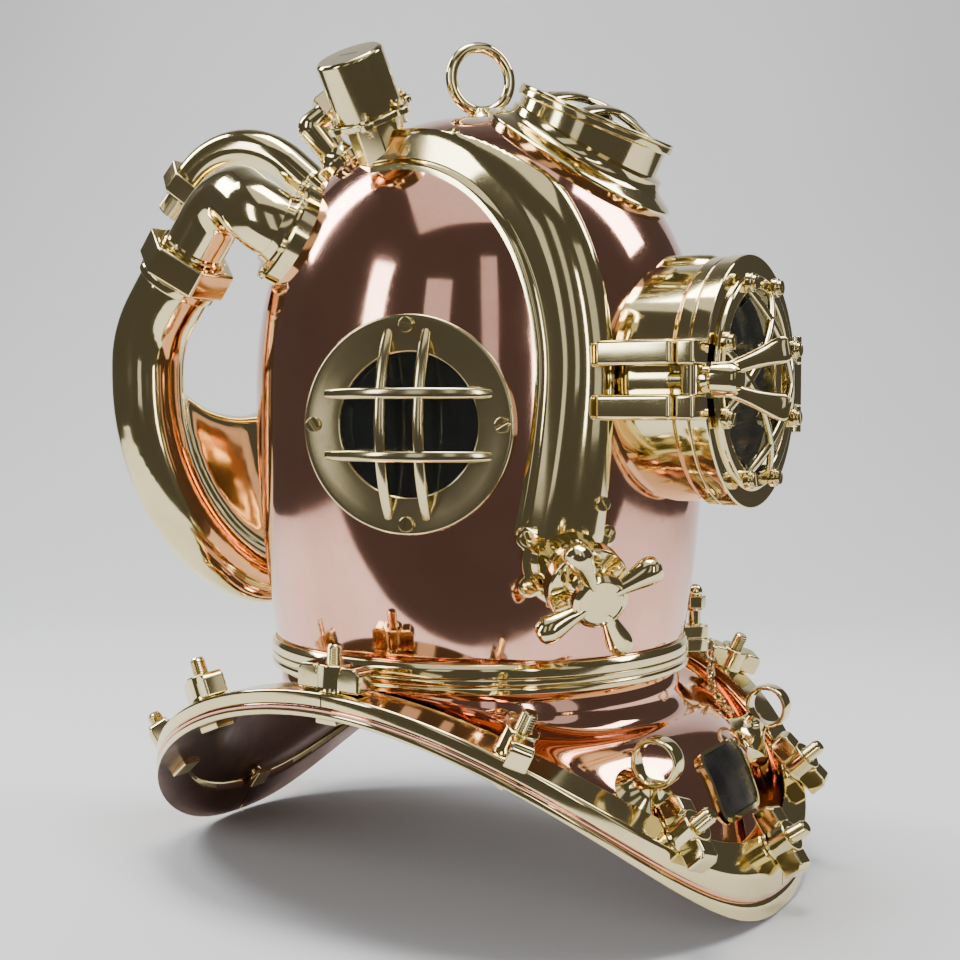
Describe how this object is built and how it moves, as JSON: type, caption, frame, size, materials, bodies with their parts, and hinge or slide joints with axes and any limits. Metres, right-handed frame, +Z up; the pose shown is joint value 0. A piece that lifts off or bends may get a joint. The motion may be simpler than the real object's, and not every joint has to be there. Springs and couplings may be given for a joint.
{
  "type": "diving helmet",
  "caption": "Copper diving helmet with brass fittings: domed bonnet on a saddle breastplate, grille-guarded windows, hinged faceplate, exhaust valve and rear canister.",
  "frame": {"origin": "on the bonnet's axis, level with the lowest edges of the breastplate's front and rear flaps", "axes": "+Z up, -Y the way the diver faces, -X the diver's right"},
  "size_m": [0.364, 0.4636, 0.5206],
  "materials": {
    "copper": "polished copper",
    "brass": "polished",
    "glass": "clear",
    "black_enamel": "gloss",
    "leather": "oiled",
    "rubber": "matt"
  },
  "bodies": {
    "breastplate": {"breastplate_shell": "copper", "breastplate_rim": "brass", "brail_front_right": "brass", "brail_front_left": "brass", "brail_rear_right": "brass", "brail_rear_left": "brass", "rim_studs": "brass", "wing_nuts": "brass", "breastplate_ring": "brass", "padeye_right": "brass", "padeye_left": "brass", "name_plate": "brass", "lock_chain": "brass", "name_plate_face": "black_enamel", "neck_gasket": "leather"},
    "bonnet": {"bonnet_shell": "copper", "bonnet_ring": "brass", "side_light_seat_right": "brass", "side_light_seat_left": "brass", "side_light_guard_right": "brass", "side_light_guard_left": "brass", "side_light_screws": "brass", "top_light_housing": "brass", "top_light_guard": "brass", "faceplate_housing": "brass", "hinge_pin": "brass", "lifting_ring": "brass", "exhaust_channel": "brass", "second_valve_body": "brass", "second_valve_cap": "brass", "canister_elbow_right": "brass", "canister_elbow_left": "brass", "elbow_screws": "brass", "canister": "brass", "gooseneck": "brass", "gooseneck_screws": "brass", "gas_inlet": "brass", "telephone_gland": "brass", "exhaust_valve_body": "brass", "exhaust_valve_bonnet": "brass", "exhaust_valve_screws": "brass", "side_light_glass_right": "glass", "side_light_glass_left": "glass", "top_light_glass": "glass", "faceplate_gasket": "rubber"},
    "door": {"faceplate_door": "brass", "faceplate_guard": "brass", "door_trunnion": "brass", "door_screws": "brass", "faceplate_glass": "glass"},
    "wing_bolt": {"wing_bolt": "brass"},
    "hand_wheel": {"hand_wheel": "brass"},
    "exhaust_disc": {"exhaust_disc": "brass", "chin_button": "brass"},
    "union_nut_right": {"union_nut_right": "brass"},
    "union_nut_left": {"union_nut_left": "brass"},
    "gooseneck_nut": {"gooseneck_nut": "brass"},
    "lock_pin": {"lock_pin": "brass"}
  },
  "joints": [
    {"name": "helmet_turn", "type": "hinge", "parent": "breastplate", "child": "bonnet", "pos_m": [0, 0, 0.1385], "axis": [0, 0, 1], "range_deg": [0, 45]},
    {"name": "faceplate_hinge", "type": "hinge", "parent": "bonnet", "child": "door", "pos_m": [0.081, -0.1778, 0.304], "axis": [0, 0, 1], "range_deg": [0, 110]},
    {"name": "wing_bolt_turn", "type": "hinge", "parent": "door", "child": "wing_bolt", "pos_m": [-0.078, -0.19, 0.304], "axis": [0, -1, 0], "range_deg": [0, 360]},
    {"name": "hand_wheel_turn", "type": "hinge", "parent": "bonnet", "child": "hand_wheel", "pos_m": [-0.10384, -0.12823, 0.195], "axis": [-0.5835, -0.7206, -0.3746], "range_deg": [0, 360]},
    {"name": "chin_button_push", "type": "slide", "parent": "bonnet", "child": "exhaust_disc", "axis": [-0.5835, -0.7206, -0.3746], "range_m": [0, 0.005], "stiffness_N_per_m": 400, "springref_m": -0.0025},
    {"name": "union_nut_right_turn", "type": "hinge", "parent": "bonnet", "child": "union_nut_right", "pos_m": [-0.084, 0.17572, 0.37729], "axis": [0, 0.6018, -0.7986], "range_deg": [0, 360]},
    {"name": "union_nut_left_turn", "type": "hinge", "parent": "bonnet", "child": "union_nut_left", "pos_m": [0.084, 0.17572, 0.37729], "axis": [0, 0.6018, -0.7986], "range_deg": [0, 360]},
    {"name": "gooseneck_nut_turn", "type": "hinge", "parent": "bonnet", "child": "gooseneck_nut", "pos_m": [-0.04375, 0.20994, 0.43583], "axis": [0, 0.7071, -0.7071], "range_deg": [0, 360]},
    {"name": "lock_pin_slide", "type": "slide", "parent": "bonnet", "child": "lock_pin", "axis": [0, 0, 1], "range_m": [-0.007, 0.006]}
  ]
}
